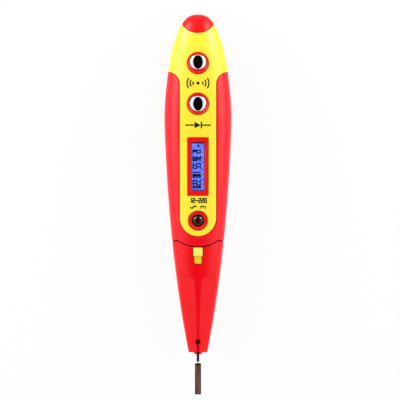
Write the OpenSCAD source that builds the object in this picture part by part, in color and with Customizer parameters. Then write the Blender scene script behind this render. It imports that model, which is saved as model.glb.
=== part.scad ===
// Pen-shaped voltage detector, lying on its flat back.
// The display face points up (+Z) and the tail points along +Y.
// Places along the pen are distances from the tail apex, so a place d sits at y = -d
// in the pen's own coordinates, where z = 0 is the parting plane of the housing.

/* [Body] */
// Widest width of the housing
body_w = 24.8; // [23:0.2:30]
// Front-to-back depth of the oval, before the back is cut flat
oval_t = 17.4; // [17:0.1:20]
// Distance from the tail apex to the widest place
tail_l = 38.9; // [34:0.1:44]
// Width of the nose at its end
nose_end_w = 6.9; // [6:0.1:9]
// Depth from the parting plane to the flat back
back_depth = 7; // [6.6:0.1:7.6]
// Wall of the housing
wall = 1.2; // [1:0.05:1.4]
// Seam between the front and rear housings
seam = 0.1; // [0.05:0.01:0.2]

/* [Red soft parts] */
// Thickness of the soft grip skin
grip_t = 0.7; // [0.5:0.05:0.8]
// Distance from the tail apex to the top of the side wings
wing_top = 21.3; // [20:0.1:24]
// Width of the yellow strip between the wings
strip_w = 13.6; // [12.6:0.1:15]
// Radius of the wings' inner top corners
wing_corner_r = 4.6; // [2:0.1:5]
// Distance from the tail apex to the round end of the yellow strip
strip_end = 81.7; // [81.2:0.1:82.4]
// Radius of the tail cap, seen from the front
cap_r = 6.9; // [5:0.1:8]

/* [Touch pads] */
// Distance from the tail apex to the upper pad
pad_upper_at = 18.1; // [17.6:0.1:18.6]
// Distance from the tail apex to the lower pad
pad_lower_at = 33.1; // [32.6:0.1:33.6]
// Width of the red rings round the pads
ring_rim = 1.1; // [0.9:0.05:1.5]
// Diameter of the chrome pads
pad_d = 6; // [5.4:0.1:6.4]
// Height of the domed top of a pad
pad_rise = 0.8; // [0.3:0.05:0.9]
// How far a pad can be pressed
pad_travel = 0.4; // [0.2:0.05:0.5]

/* [Display] */
// Distance from the tail apex to the middle of the display
display_at = 56.1; // [55.8:0.1:56.5]
// Width of the display frame's long sides
bezel_side = 1.25; // [1:0.05:1.5]
// Width of the display frame's ends
bezel_end = 1.75; // [1:0.05:1.9]
// Width of the window
window_w = 5.3; // [4.6:0.1:5.8]
// Length of the window
window_l = 17.9; // [17:0.1:18.4]
// Thickness of the display panel
lcd_t = 1.4; // [1.2:0.1:1.5]

/* [Lamp] */
// Distance from the tail apex to the lamp
led_at = 75.9; // [75.6:0.1:76.2]
// Width of the red ring round the lamp
led_rim = 1.55; // [1.2:0.05:1.7]
// Diameter of the lamp's dome
led_d = 4.2; // [3.8:0.1:4.6]

/* [Board] */
// Width of the circuit board
board_w = 12; // [11:0.1:12.6]
// Thickness of the circuit board
board_t = 1; // [0.8:0.1:1.2]
// Height of the board's top face above the parting plane
board_top = 3.2; // [3:0.1:3.4]

/* [Battery] */
// Diameter of a button cell
cell_d = 7.9; // [7:0.1:8]
// Height of a button cell
cell_h = 3.6; // [3:0.1:3.8]
// Number of button cells
cell_count = 3; // [2:1:3]

/* [Nose] */
// Distance from the tail apex to the joint line at the sides
joint_at = 83.2; // [82.9:0.1:84]
// Length of the nose below the joint line at the sides
nose_l = 41.2; // [38:0.1:50]
// How far the housing bulges down into the nose at the middle
joint_bulge = 2.2; // [1.6:0.1:2.6]
// Width of the bulge
joint_chord = 14.6; // [13:0.1:16]
// Gap between the housing and the nose
joint_gap = 0.4; // [0.3:0.05:0.5]
// Wall of the nose
nose_wall = 1.4; // [1.2:0.1:1.5]
// Width of the latch notch
notch_w = 4.2; // [4.2:0.1:5]
// Length of the latch notch below the bulge
notch_l = 6.7; // [6.4:0.1:7]
// How far the latch can be pressed
latch_travel = 0.6; // [0.3:0.05:0.6]

/* [Probe] */
// Length of the flat blade
blade_l = 11.5; // [9:0.1:13]
// Width of the flat blade
blade_w = 2.3; // [1.8:0.1:2.8]
// Thickness of the flat blade
blade_t = 0.9; // [0.7:0.05:1.2]
// Length of shank that shows between the nose and the blade
shank_out = 4.1; // [3:0.1:6]
// Diameter of the steel shank
shank_d = 0.7; // [0.5:0.05:0.8]
// Outer diameter of the black sleeve
sleeve_d = 1; // [0.9:0.05:1.2]

/* [Fasteners] */
// Thread diameter of the case screws
screw_d = 2; // [1.8:0.1:2.2]
// Head diameter of the case screws
screw_head_d = 3.6; // [3.2:0.1:3.8]

/* [Hidden] */

round_fn = 64;
over = 1;
half_share = 0.5;

yellow = "gold";
red = "red";
body_half = body_w * half_share;
oval_half = oval_t * half_share;
nose_end_half = nose_end_w * half_share;
nose_end = joint_at + nose_l;
overall_l = nose_end + shank_out + blade_l;

// Clearances: bond between fixed pieces, slip between pieces that move
bond = 0.05;
slip = 0.1;
slide_gap = 0.3;

// Outline of the oval: a superellipse over the tail, then a taper of two powers
tail_y_power = 1.7;
tail_x_power = 2.6;
taper_slow_power = 1.2;
taper_fast_power = 2.6;
taper_slow_share = 0.5;
tail_steps = 14;
taper_steps = 14;
function tail_share(t) = pow(1 - pow(1 - t, tail_y_power), 1 / tail_x_power);
function taper_share(s) = taper_slow_share * pow(s, taper_slow_power)
  + (1 - taper_slow_share) * pow(s, taper_fast_power);
function half_at(d, inset = 0) = d < tail_l
  ? (body_half - inset) * tail_share(max(d - inset, 0) / (tail_l - inset))
  : body_half - inset - (body_half - nose_end_half) * taper_share((d - tail_l) / (nose_end - tail_l));
function flatness(inset = 0) = (oval_half - inset) / (body_half - inset);
function crest_at(d, inset = 0) = half_at(d, inset) * flatness(inset);
slope_reach = 1;
function face_tilt(d) =
  atan((crest_at(d + slope_reach) - crest_at(d - slope_reach)) / (2 * slope_reach));

function tail_place(i, inset) = let (a = 90 * i / tail_steps)
  inset + (tail_l - inset) * (1 - pow(cos(a), 2 / tail_y_power));
function taper_place(i) = tail_l + (nose_end - tail_l) * i / taper_steps;
function oval_outline(inset) = concat(
  [[0, -inset]],
  [for (i = [1:tail_steps]) let (d = tail_place(i, inset)) [half_at(d, inset), -d]],
  [for (i = [1:taper_steps]) let (d = taper_place(i)) [half_at(d, inset), -d]],
  [[0, -nose_end]]
);

// The solid oval of the pen, drawn in by an inset on every side
module oval(inset = 0) {
  scale([1, 1, flatness(inset)])
    rotate([-90, 0, 0])
      rotate_extrude($fn = round_fn)
        polygon(oval_outline(inset));
}

// Stands the pen on its flat back, with the middle of its length over the origin
module placed() {
  translate([0, overall_l * half_share, back_depth])
    children();
}

// A box from d0 to d1 along the pen and z0 to z1, centred on the axis
module slab(w, d0, d1, z0, z1) {
  translate([-w * half_share, -d1, z0])
    cube([w, d1 - d0, z1 - z0]);
}

// Places its children at d on the crest of the face, square to the face there
module on_face(d) {
  translate([0, -d, crest_at(d)])
    rotate([-face_tilt(d), 0, 0])
      children();
}

// Joint line between housing and nose, as prisms through the whole depth
bulge_r = (pow(joint_chord * half_share, 2) + pow(joint_bulge, 2)) / (2 * joint_bulge);
bulge_end = joint_at + joint_bulge;
module housing_prism(grow = 0) {
  slab(body_w * 2, -over, joint_at + grow, -oval_t, oval_t);
  translate([0, bulge_r - bulge_end, -oval_t])
    cylinder(r = bulge_r + grow, h = oval_t * 2, $fn = round_fn);
}

// Space in front of, or behind, the parting plane
module front_side() {
  slab(body_w * 2, -over, overall_l, seam * half_share, oval_t);
}
module rear_side() {
  slab(body_w * 2, -over, overall_l, -back_depth, -seam * half_share);
}

module cap_zone(grow = 0) {
  translate([0, 0, -oval_t])
    cylinder(r = cap_r + grow, h = oval_t * 2, $fn = round_fn);
}

// Outline of the yellow strip between the wings, with its round end and flared top
strip_half = strip_w * half_share;
module strip_outline(inset = 0) {
  strip_r = strip_half - inset;
  translate([0, strip_half - strip_end])
    circle(r = strip_r, $fn = round_fn);
  translate([-strip_r, strip_half - strip_end])
    square([strip_r * 2, strip_end - strip_half + over]);
  flare_top = wing_top - inset;
  translate([-body_w, -flare_top])
    square([body_w * 2, flare_top + over]);
  for (side = [-1, 1])
    difference() {
      translate([side * (strip_r + wing_corner_r * half_share), -flare_top - wing_corner_r * half_share])
        square(wing_corner_r, center = true);
      translate([side * (strip_r + wing_corner_r), -flare_top - wing_corner_r])
        circle(r = wing_corner_r, $fn = round_fn);
    }
}
module wing_zone(grow = 0) {
  difference() {
    slab(body_w * 2, wing_top - wing_corner_r, bulge_end + over, -over, oval_t);
    translate([0, 0, -over * 2])
      linear_extrude(oval_t * 2)
        strip_outline(grow);
  }
}

// Outer sizes of the frames and rings
ring_d = pad_d + ring_rim * 2;
led_ring_d = led_d + led_rim * 2;
bezel_w = window_w + bezel_side * 2;
bezel_l = window_l + bezel_end * 2;

// Heights of what is stacked on the board
board_bottom = board_top - board_t;
board_tail_at = 13;
board_nose_at = 79.4;
board_corner_r = 3;
diffuser_t = 1.1;
lcd_base = board_top + diffuser_t + 2 * bond;
lcd_top = lcd_base + lcd_t;
lcd_margin = 1.1;
lcd_w = window_w + lcd_margin * 2;
lcd_l = window_l + lcd_margin * 2;
display_d0 = display_at - bezel_l * half_share;
window_d0 = display_at - window_l * half_share;

// Rings and pads, in the frame of their place on the face
ring_depth = 1.6;
dish_depth = 0.5;
dish_rim = 0.35;
pad_flange_t = 0.5;
pad_flange_lip = 0.5;
pad_edge_drop = 0.65;
pad_foot = ring_depth + slip + pad_flange_t;
module dished_ring(outer_d, hole_d) {
  difference() {
    translate([0, 0, -ring_depth])
      cylinder(d = outer_d - 2 * bond, h = ring_depth + over, $fn = round_fn);
    translate([0, 0, -ring_depth - over])
      cylinder(d = hole_d, h = ring_depth + over * 3, $fn = round_fn);
    translate([0, 0, -dish_depth])
      cylinder(d1 = hole_d, d2 = outer_d - dish_rim * 2, h = dish_depth, $fn = round_fn);
    cylinder(d = outer_d - dish_rim * 2, h = over * 2, $fn = round_fn);
  }
}
module ring_at(d, outer_d, hole_d) {
  placed()
    intersection() {
      on_face(d) dished_ring(outer_d, hole_d);
      oval(-bond);
    }
}

// A low dome, as the cap of a sphere that meets a rim of diameter d
module dome(d, rise) {
  ball_r = (pow(d * half_share, 2) + pow(rise, 2)) / (2 * rise);
  intersection() {
    translate([0, 0, rise - ball_r])
      sphere(r = ball_r, $fn = round_fn);
    cylinder(d = d, h = rise, $fn = round_fn);
  }
}
module touch_pad(d) {
  placed()
    on_face(d) {
      translate([0, 0, -pad_foot])
        cylinder(d = pad_d + pad_flange_lip * 2, h = pad_flange_t, $fn = round_fn);
      translate([0, 0, -pad_foot])
        cylinder(d = pad_d, h = pad_foot - pad_edge_drop, $fn = round_fn);
      translate([0, 0, -pad_edge_drop])
        dome(pad_d, pad_rise);
    }
}

// Plain closed-up spring between a pad's foot and the board
pad_spring_d = 3.4;
pad_spring_wire = 0.4;
module tube(d, bore, h) {
  difference() {
    cylinder(d = d, h = h, $fn = round_fn);
    translate([0, 0, -over])
      cylinder(d = bore, h = h + over * 2, $fn = round_fn);
  }
}
module pad_spring(d) {
  lean = face_tilt(d);
  foot_z = crest_at(d) - pad_foot * cos(lean);
  lean_drop = pad_spring_d * half_share * abs(tan(lean));
  placed()
    translate([0, -d - pad_foot * sin(lean), board_top + bond])
      tube(pad_spring_d, pad_spring_d - pad_spring_wire * 2, foot_z - lean_drop - board_top - bond * 2);
}

// Case screws, from the flat back into the bosses of the front housing
screw_places = [25.6, 69.5];
screw_head_t = 1.2;
screw_sink = 0.3;
screw_seat = screw_sink + screw_head_t;
screw_bite = 2.6;
screw_tip = board_top + screw_bite;
boss_d = 4;
rear_boss_d = 5.2;
pilot_end = screw_tip + slide_gap;
drive_w = 0.5;
drive_l = 2;
drive_deep = 0.7;
module screw() {
  head_z = -back_depth + screw_sink;
  difference() {
    union() {
      translate([0, 0, head_z])
        cylinder(d = screw_head_d, h = screw_head_t, $fn = round_fn);
      translate([0, 0, head_z])
        cylinder(d = screw_d, h = screw_tip - head_z, $fn = round_fn);
    }
    for (turn = [0, 90])
      rotate([0, 0, turn])
        translate([-drive_l * half_share, -drive_w * half_share, head_z - over])
          cube([drive_l, drive_w, drive_deep + over]);
  }
}
module case_screws() {
  color("dimgray")
    placed()
      for (d = screw_places)
        translate([0, -d, 0])
          screw();
}

// Yellow front housing
module front_shell() {
  color(yellow)
    placed()
      difference() {
        union() {
          difference() {
            intersection() {
              oval();
              front_side();
              housing_prism();
            }
            oval(wall);
            difference() {
              wing_zone();
              oval(grip_t + bond);
            }
          }
          for (d = screw_places)
            translate([0, -d, board_top + bond])
              cylinder(d = boss_d, h = crest_at(d) - wall * half_share - board_top, $fn = round_fn);
        }
        cap_zone();
        for (d = screw_places)
          translate([0, -d, 0])
            cylinder(d = screw_d + 2 * bond, h = pilot_end, $fn = round_fn);
        for (d = [pad_upper_at, pad_lower_at])
          on_face(d)
            translate([0, 0, -pad_foot - pad_travel])
              cylinder(d = ring_d, h = pad_foot + pad_travel + over, $fn = round_fn);
        on_face(led_at)
          translate([0, 0, -pad_foot])
            cylinder(d = led_ring_d, h = pad_foot + over, $fn = round_fn);
        slab(bezel_w, display_d0, display_d0 + bezel_l, board_top, oval_t);
      }
}

// Red rear housing with its flat back
module rear_shell() {
  floor_z = -back_depth + wall;
  color(red)
    placed()
      difference() {
        union() {
          difference() {
            intersection() {
              oval();
              rear_side();
              housing_prism();
            }
            intersection() {
              oval(wall);
              slab(body_w, -over, overall_l, floor_z, over);
            }
          }
          for (d = screw_places)
            translate([0, -d, -back_depth])
              cylinder(d = rear_boss_d, h = back_depth + board_bottom - bond, $fn = round_fn);
        }
        cap_zone();
        for (d = screw_places)
          translate([0, -d, -back_depth]) {
            translate([0, 0, -over])
              cylinder(d = screw_head_d + 2 * slip, h = screw_seat + over, $fn = round_fn);
            translate([0, 0, -over])
              cylinder(d = screw_d + 2 * bond, h = back_depth * 2, $fn = round_fn);
          }
      }
}

// Red soft skin: both side wings and the collar under the strip
module front_grip() {
  color(red)
    placed()
      difference() {
        intersection() {
          oval();
          front_side();
          housing_prism();
          wing_zone(-bond);
        }
        oval(grip_t);
      }
}

// Red cap at the tail
module tail_cap() {
  color(red)
    placed()
      difference() {
        intersection() {
          oval();
          cap_zone(-bond);
        }
        oval(wall);
      }
}

module pad_ring_upper() {
  color(red) ring_at(pad_upper_at, ring_d, pad_d + 2 * slip);
}
module pad_ring_lower() {
  color(red) ring_at(pad_lower_at, ring_d, pad_d + 2 * slip);
}
module touch_pad_upper() {
  color("silver") touch_pad(pad_upper_at);
}
module touch_pad_lower() {
  color("silver") touch_pad(pad_lower_at);
}
module pad_spring_upper() {
  color("goldenrod") pad_spring(pad_upper_at);
}
module pad_spring_lower() {
  color("goldenrod") pad_spring(pad_lower_at);
}

// Red frame round the window
module display_bezel() {
  color(red)
    placed()
      difference() {
        intersection() {
          slab(bezel_w - 2 * bond, display_d0 + bond, display_d0 + bezel_l - bond, lcd_top + bond, oval_t);
          oval(-slip);
        }
        slab(window_w, window_d0, window_d0 + window_l, 0, oval_t);
      }
}

// Clear window, a little below the frame
lens_drop = 0.35;
module display_lens() {
  color("lightblue", 0.4)
    placed()
      intersection() {
        slab(window_w - 2 * bond, window_d0 + bond, window_d0 + window_l - bond, lcd_top + bond, oval_t);
        oval(lens_drop);
      }
}

module lcd_glass() {
  color("cornflowerblue")
    placed()
      slab(lcd_w, display_at - lcd_l * half_share, display_at + lcd_l * half_share, lcd_base, lcd_top);
}

// Light guide behind the panel, between the two elastomer strips
zebra_t = 1.4;
zebra_end = 0.4;
module display_diffuser() {
  reach = lcd_l * half_share - zebra_end - zebra_t - slip;
  color("white")
    placed()
      slab(lcd_w, display_at - reach, display_at + reach, board_top + bond, lcd_base - bond);
}
module zebra_strips() {
  color("dimgray")
    placed()
      for (end = [-1, 1])
        translate([0, -end * (lcd_l * half_share - zebra_end - zebra_t * half_share), 0])
          slab(lcd_w - lcd_margin, display_at - zebra_t * half_share, display_at + zebra_t * half_share,
            board_top + bond, lcd_base - bond);
}

module led_ring() {
  color(red) ring_at(led_at, led_ring_d, led_d + 2 * led_clear);
}

// Lamp with its foot on the board
led_foot_t = 0.8;
led_foot_lip = 0.4;
led_edge_drop = 0.9;
led_rise = 1.1;
led_clear = 0.15;
module indicator_led() {
  color("darkred")
    placed()
      translate([0, -led_at, 0]) {
        translate([0, 0, board_top + bond])
          cylinder(d = led_d + led_foot_lip * 2, h = led_foot_t, $fn = round_fn);
        translate([0, 0, board_top + bond])
          cylinder(d = led_d, h = crest_at(led_at) - led_edge_drop - board_top - bond, $fn = round_fn);
        translate([0, 0, crest_at(led_at) - led_edge_drop])
          dome(led_d, led_rise);
      }
}

// Board between the bosses of the two housings
module circuit_board() {
  color("darkgreen")
    placed()
      translate([0, 0, board_bottom])
        difference() {
          union() {
            slab(board_w, board_tail_at + board_corner_r, board_nose_at, 0, board_t);
            slab(board_w - board_corner_r * 2, board_tail_at, board_nose_at, 0, board_t);
            for (side = [-1, 1])
              translate([side * (board_w * half_share - board_corner_r), -board_tail_at - board_corner_r, 0])
                cylinder(r = board_corner_r, h = board_t, $fn = round_fn);
          }
          for (d = screw_places)
            translate([0, -d, -over])
              cylinder(d = screw_d + 2 * slip, h = board_t + over * 2, $fn = round_fn);
        }
}

chip_w = 6;
chip_l = 9;
chip_t = 1.5;
module driver_chip() {
  color("black")
    placed()
      slab(chip_w, display_at - chip_l * half_share, display_at + chip_l * half_share,
        board_bottom - bond - chip_t, board_bottom - bond);
}

// Two rows of small parts under the board, on either side of the chip
small_w = 1.6;
small_l = 3;
small_t = 0.7;
small_pitch = 5;
small_rows = 4;
small_from = 36;
module surface_parts() {
  color("dimgray")
    placed()
      for (side = [-1, 1])
        for (i = [0:small_rows - 1])
          translate([side * (board_w - small_w - chip_t) * half_share, 0, 0])
            slab(small_w, small_from + small_pitch * i, small_from + small_pitch * i + small_l,
              board_bottom - bond - small_t, board_bottom - bond);
}

// Battery tray: a collar held in the housing and a tongue that reaches into the nose
holder_from = 80.1;
collar_l = 2.7;
stack_at = bulge_end + joint_gap;
stack_end = stack_at + cell_h * cell_count;
contact_t = 0.3;
spring_room = 2.6;
trough_from = stack_at - contact_t - 2 * bond;
trough_to = stack_end + spring_room + contact_t + slip;
tray_inset = nose_wall + slide_gap;
foot_set = 3;
foot_at = trough_to + foot_set;
spring_pocket_l = 9.4;
holder_to = foot_at + spring_pocket_l;
strip_set = 0.6;
strip_x = cell_d * half_share + strip_set;
strip_h = 2;
strip_slot = contact_t + 2 * slip;
contact_reach = 3;
plus_w = 2.4;
plus_h = 5;
probe_spring_d = 2.4;
probe_head_set = 3;
probe_head_at = holder_to + probe_head_set;
probe_head_d = 3;
probe_head_t = 0.7;
tongue_w = 3;
tongue_t = 0.5;
tongue_base = cell_d * half_share + latch_travel + slip;
tongue_root = 1.2;
tongue_from = holder_from + tongue_root;

// Space along one side of the cells for a metal strip
module strip_space(side, d1) {
  translate([side * (strip_x + contact_t * half_share), 0, 0])
    slab(strip_slot, holder_from - over, d1, -strip_h * half_share - slip, strip_h * half_share + slip);
}
module battery_holder() {
  color(yellow)
    placed()
      difference() {
        union() {
          intersection() {
            oval(wall + bond);
            slab(body_w, holder_from, holder_from + collar_l, -back_depth + wall + bond, oval_half);
          }
          intersection() {
            oval(tray_inset);
            slab(body_w, holder_from, holder_to, -oval_half, oval_half);
          }
        }
        translate([0, -trough_from, 0])
          rotate([90, 0, 0])
            cylinder(d = cell_d + 2 * slip, h = trough_to - trough_from, $fn = round_fn);
        slab(cell_d + 2 * slip, trough_from, trough_to, 0, oval_half);
        slab(tongue_w + 2 * slip, holder_from - over, trough_from + over,
          tongue_base - latch_travel - slip, oval_half);
        slab(plus_w + 2 * slip, holder_from - over, trough_from + over,
          board_bottom - contact_t - bond - slip, board_bottom - bond + slip);
        strip_space(1, foot_at + contact_t + slip);
        strip_space(-1, trough_to);
        translate([strip_x * half_share, 0, 0])
          slab(strip_x + contact_t + 2 * slip, foot_at - slip, foot_at + contact_t + slip,
            -strip_h * half_share - slip, strip_h * half_share + slip);
        translate([0, -foot_at, 0])
          rotate([90, 0, 0])
            cylinder(d = probe_spring_d + 2 * slip, h = holder_to - foot_at + over, $fn = round_fn);
        translate([-strip_x * half_share, 0, 0])
          slab(strip_x + contact_t + 2 * slip, trough_to - contact_t - 3 * slip, trough_to,
            -strip_h * half_share - slip, strip_h * half_share + slip);
      }
}

// Button cells, each a rim and a smaller raised cap
cell_cap_h = 0.4;
cell_cap_share = 0.7;
module button_cells() {
  color("silver")
    placed()
      for (i = [0:cell_count - 1])
        translate([0, -stack_at - cell_h * i, 0])
          rotate([90, 0, 0]) {
            cylinder(d = cell_d, h = cell_h - cell_cap_h, $fn = round_fn);
            cylinder(d = cell_d * cell_cap_share, h = cell_h - bond, $fn = round_fn);
          }
}

// Plate on the first cell, with a tab under the board
module cell_contact_plus() {
  plate_at = stack_at - bond - contact_t;
  color("goldenrod")
    placed() {
      slab(plus_w * 2, plate_at, plate_at + contact_t, -plus_h * half_share, board_bottom - bond);
      slab(plus_w, board_nose_at - contact_reach, plate_at + contact_t,
        board_bottom - bond - contact_t, board_bottom - bond);
    }
}

// A metal strip beside the cells, from its foot to a tab under the board
module side_strip(side, d1) {
  translate([side * (strip_x + contact_t * half_share), 0, 0]) {
    slab(contact_t, board_nose_at - contact_reach, d1, -strip_h * half_share, strip_h * half_share);
    slab(contact_t, board_nose_at - contact_reach, holder_from - slip,
      -strip_h * half_share, board_bottom - bond);
  }
}
minus_spring_d = 5;
module cell_contact_minus() {
  plate_at = trough_to - slip - contact_t;
  color("goldenrod")
    placed() {
      side_strip(-1, plate_at + contact_t);
      translate([-strip_x * half_share, 0, 0])
        slab(strip_x + contact_t * 2, plate_at, plate_at + contact_t,
          -strip_h * half_share, strip_h * half_share);
      translate([0, -stack_end - bond, 0])
        rotate([90, 0, 0])
          tube(minus_spring_d, minus_spring_d - pad_spring_wire * 2, plate_at - stack_end - bond);
    }
}
module sense_strip() {
  color("goldenrod")
    placed() {
      side_strip(1, foot_at + contact_t);
      translate([strip_x * half_share, 0, 0])
        slab(strip_x + contact_t * 2, foot_at, foot_at + contact_t,
          -strip_h * half_share, strip_h * half_share);
    }
}
module probe_spring() {
  spring_from = foot_at + contact_t + bond;
  color("silver")
    placed()
      translate([0, -spring_from, 0])
        rotate([90, 0, 0])
          tube(probe_spring_d, probe_spring_d - pad_spring_wire * 2, probe_head_at - bond - spring_from);
}

// Yellow latch: a sprung tongue with a raised block and a lower step, in the notch of the nose
notch_at = bulge_end + joint_gap;
notch_end = bulge_end + notch_l;
latch_side_gap = 0.35;
latch_w = notch_w - 2 * latch_side_gap;
latch_step_set = 0.3;
latch_step_w = latch_w - 2 * latch_step_set;
latch_block_l = 3.1;
latch_step_drop = 0.5;
module latch_tongue() {
  latch_end = notch_end - slide_gap;
  step_at = notch_at + latch_block_l;
  color(yellow)
    placed() {
      slab(tongue_w, tongue_from, latch_end, tongue_base, tongue_base + tongue_t);
      intersection() {
        slab(latch_w, notch_at, step_at, tongue_base, oval_half);
        oval();
      }
      intersection() {
        slab(latch_step_w, step_at, latch_end, tongue_base, oval_half);
        oval(latch_step_drop);
      }
    }
}

// Removable nose
cavity_end = probe_head_at + probe_head_t + bond;
facet_at = 97.4;
facet_arc_r = 7.2;
facet_arc_rise = 3;
facet_lean = 25;
facet_share = 0.7;
keyhole_d = 2.1;
keyhole_set = 3.8;
keyhole_at = nose_end - keyhole_set;
keyhole_slot_w = 1.2;
tip_collar_d = 3;
tip_collar_l = 0.7;
facet_z = facet_share * half_at(facet_at);
facet_fall = atan((facet_z - facet_share * nose_end_half) / (nose_end - facet_at));
module facet_zone() {
  difference() {
    slab(body_w, facet_at - facet_arc_rise, overall_l, 0, oval_t);
    translate([0, facet_arc_r - facet_at, -over])
      cylinder(r = facet_arc_r, h = oval_t + over * 2, $fn = round_fn);
  }
}
module nose_cover() {
  color(red)
    placed()
      difference() {
        union() {
          difference() {
            oval();
            housing_prism(joint_gap);
            intersection() {
              facet_zone();
              union()
                for (side = [-1, 1])
                  rotate([0, side * facet_lean, 0])
                    translate([0, -facet_at, facet_z])
                      rotate([facet_fall, 0, 0])
                        translate([-body_half, -nose_end, 0])
                          cube([body_w, nose_end * 2, oval_t]);
            }
          }
          translate([0, -nose_end + over, 0])
            rotate([90, 0, 0])
              cylinder(d = tip_collar_d, h = tip_collar_l + over, $fn = round_fn);
        }
        intersection() {
          oval(nose_wall);
          slab(body_w, 0, cavity_end, -oval_half, oval_half);
        }
        slab(notch_w, joint_at, notch_end, 0, oval_t);
        translate([0, -cavity_end + over, 0])
          rotate([90, 0, 0])
            cylinder(d = sleeve_d + 2 * bond, h = nose_end, $fn = round_fn);
        translate([0, -keyhole_at, 0])
          cylinder(d = keyhole_d, h = oval_t, $fn = round_fn);
        slab(keyhole_slot_w, keyhole_at, overall_l, 0, oval_t);
      }
}

// Steel probe: a head in the nose, a round shank and a flat blade
blade_from = overall_l - blade_l;
blade_tip_t = 0.5;
blade_bevel_l = 5;
blade_chamfer = 0.25;
sleeve_bare = 0.6;
module probe_blade() {
  color("rosybrown")
    placed() {
      translate([0, -probe_head_at, 0])
        rotate([90, 0, 0])
          cylinder(d = probe_head_d, h = probe_head_t, $fn = round_fn);
      translate([0, -probe_head_at, 0])
        rotate([90, 0, 0])
          cylinder(d = shank_d, h = blade_from - probe_head_at + bond, $fn = round_fn);
      intersection() {
        translate([-blade_w * half_share, 0, 0])
          rotate([90, 0, 90])
            linear_extrude(blade_w)
              polygon([
                [-blade_from, blade_t * half_share],
                [-overall_l + blade_bevel_l, blade_t * half_share],
                [-overall_l, blade_tip_t * half_share],
                [-overall_l, -blade_tip_t * half_share],
                [-overall_l + blade_bevel_l, -blade_t * half_share],
                [-blade_from, -blade_t * half_share]
              ]);
        translate([0, 0, -blade_t])
          linear_extrude(blade_t * 2)
            polygon([
              [blade_chamfer - blade_w * half_share, -blade_from],
              [blade_w * half_share - blade_chamfer, -blade_from],
              [blade_w * half_share, -blade_from - blade_chamfer],
              [blade_w * half_share, -overall_l + blade_chamfer],
              [blade_w * half_share - blade_chamfer, -overall_l],
              [blade_chamfer - blade_w * half_share, -overall_l],
              [-blade_w * half_share, -overall_l + blade_chamfer],
              [-blade_w * half_share, -blade_from - blade_chamfer]
            ]);
      }
    }
}
module probe_sleeve() {
  sleeve_from = cavity_end + bond;
  color("black")
    placed()
      translate([0, -sleeve_from, 0])
        rotate([90, 0, 0])
          tube(sleeve_d, shank_d + 2 * bond, blade_from - sleeve_bare - sleeve_from);
}

front_shell();
rear_shell();
front_grip();
tail_cap();
pad_ring_upper();
pad_ring_lower();
touch_pad_upper();
touch_pad_lower();
pad_spring_upper();
pad_spring_lower();
display_bezel();
display_lens();
lcd_glass();
display_diffuser();
zebra_strips();
led_ring();
indicator_led();
circuit_board();
driver_chip();
surface_parts();
battery_holder();
button_cells();
cell_contact_plus();
cell_contact_minus();
sense_strip();
probe_spring();
case_screws();
latch_tongue();
nose_cover();
probe_blade();
probe_sleeve();
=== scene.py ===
"""Looks of a pen-shaped voltage detector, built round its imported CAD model.

Shapes are worked out in millimetres in the pen's own coordinates: x to the right of the face, y = -d where d is
the distance from the tail apex, and z = 0 on the parting plane of the housing. Objects are made in metres.
"""
import math

import bpy
import numpy as np
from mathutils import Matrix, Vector
from mathutils.geometry import delaunay_2d_cdt


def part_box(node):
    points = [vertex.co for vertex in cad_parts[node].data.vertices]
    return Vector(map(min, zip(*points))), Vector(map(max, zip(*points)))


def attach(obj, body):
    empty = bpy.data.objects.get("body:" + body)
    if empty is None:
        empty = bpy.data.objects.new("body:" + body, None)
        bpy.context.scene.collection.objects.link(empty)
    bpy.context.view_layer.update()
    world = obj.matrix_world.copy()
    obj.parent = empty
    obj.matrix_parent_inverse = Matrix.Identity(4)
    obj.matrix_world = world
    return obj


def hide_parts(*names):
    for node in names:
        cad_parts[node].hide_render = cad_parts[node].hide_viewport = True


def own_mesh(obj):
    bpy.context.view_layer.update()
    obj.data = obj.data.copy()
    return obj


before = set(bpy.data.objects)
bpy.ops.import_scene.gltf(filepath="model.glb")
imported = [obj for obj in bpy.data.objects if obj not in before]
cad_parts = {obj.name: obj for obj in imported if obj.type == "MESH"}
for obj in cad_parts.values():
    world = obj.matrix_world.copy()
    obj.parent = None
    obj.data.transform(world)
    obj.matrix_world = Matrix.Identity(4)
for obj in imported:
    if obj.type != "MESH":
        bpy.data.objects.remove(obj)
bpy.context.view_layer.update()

studio = bpy.context.scene

# ---- sizes, in millimetres
OVERALL = 140.0
BODY_HALF = 12.4
OVAL_HALF = 8.7
FLATNESS = OVAL_HALF / BODY_HALF
TAIL_L = 38.9
TAIL_CURVE, TAIL_BLUNT = 1.7, 2.6
NOSE_END = 124.4
NOSE_END_HALF = 3.45
BACK_DEPTH = 7.0
WALL = 1.2
GRIP_T = 0.7
NOSE_WALL = 1.4
CAP_R = 6.9
STRIP_HALF = 6.8
STRIP_END = 81.7
WING_TOP = 21.3
WING_CORNER = 4.6
PAD_PLACES = (18.1, 33.1)
PAD_R = 3.0
RING_R = 4.1
DISPLAY_AT = 56.1
BEZEL_HALF = np.array((3.9, 10.7))
WINDOW_HALF = np.array((2.65, 8.95))
LCD_TOP = 5.8
LED_AT = 75.9
LED_RING_R = 3.65
LED_R = 2.1
JOINT_AT = 83.2
BULGE = 2.2
BULGE_R = 13.21
BULGE_CENTRE = JOINT_AT + BULGE - BULGE_R
JOINT_GAP = 0.4
NOTCH_HALF = 2.0
NOTCH_END = 92.1
NOTCH_STEP = 89.15
NOTCH_LOW_HALF = 1.72
FACET_AT = 97.4
FACET_ARC_R = 7.2
FACET_LEAN = math.radians(25)
FACET_DEPTH = 0.7  # from the axis, as a share of the half width
FACET_BEND = 0.06
KEYHOLE_AT = 120.6
KEYHOLE_R = 1.05
SLOT_HALF = 0.6
SCREW_PLACES = (25.6, 69.5)
SCREW_HOLE_R = 1.95
BLADE_FROM = 128.5
BLADE_HALF = 1.15
EDGE_GAP = 0.05  # from a piece's nominal edge to its built one
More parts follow.
